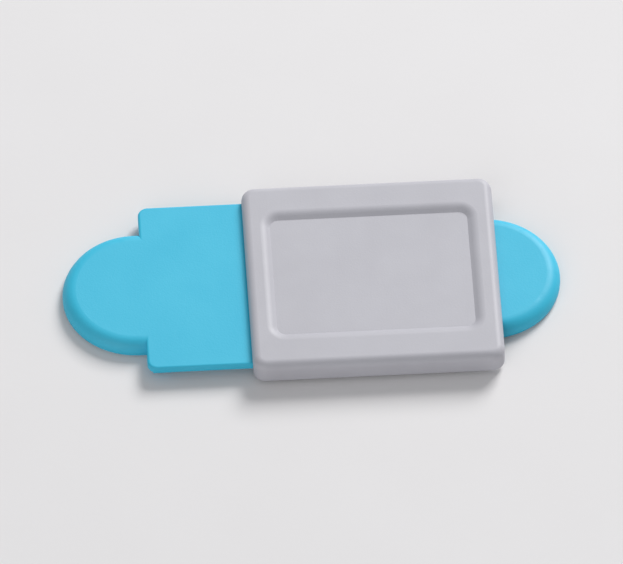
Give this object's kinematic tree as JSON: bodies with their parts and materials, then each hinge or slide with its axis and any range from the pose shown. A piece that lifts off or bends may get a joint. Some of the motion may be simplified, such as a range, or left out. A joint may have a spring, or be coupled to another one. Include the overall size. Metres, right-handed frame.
{
  "type": "camera cover",
  "caption": "Thin sliding camera cover: a round-ended base with overhanging rails and a lens window, and a clip-on slider with a shallow finger dish that shuts or frees the window.",
  "frame": {"origin": "middle of the face that is bonded to the screen's bezel", "axes": "+X along the slide towards the lens window, +Y across the cover, +Z out of the screen"},
  "size_m": [0.0224, 0.0104, 0.0013],
  "materials": {
    "blue_plastic": "satin moulded plastic, light blue",
    "grey_plastic": "satin moulded plastic, light grey",
    "adhesive": "milky double-sided acrylic tape"
  },
  "bodies": {
    "base": {"base": "blue_plastic", "adhesive_pad": "adhesive"},
    "slider": {"slider": "grey_plastic"}
  },
  "joints": [
    {"name": "shutter_slide", "type": "slide", "parent": "base", "child": "slider", "axis": [-1, 0, 0], "range_m": [0, 0.0055]}
  ]
}
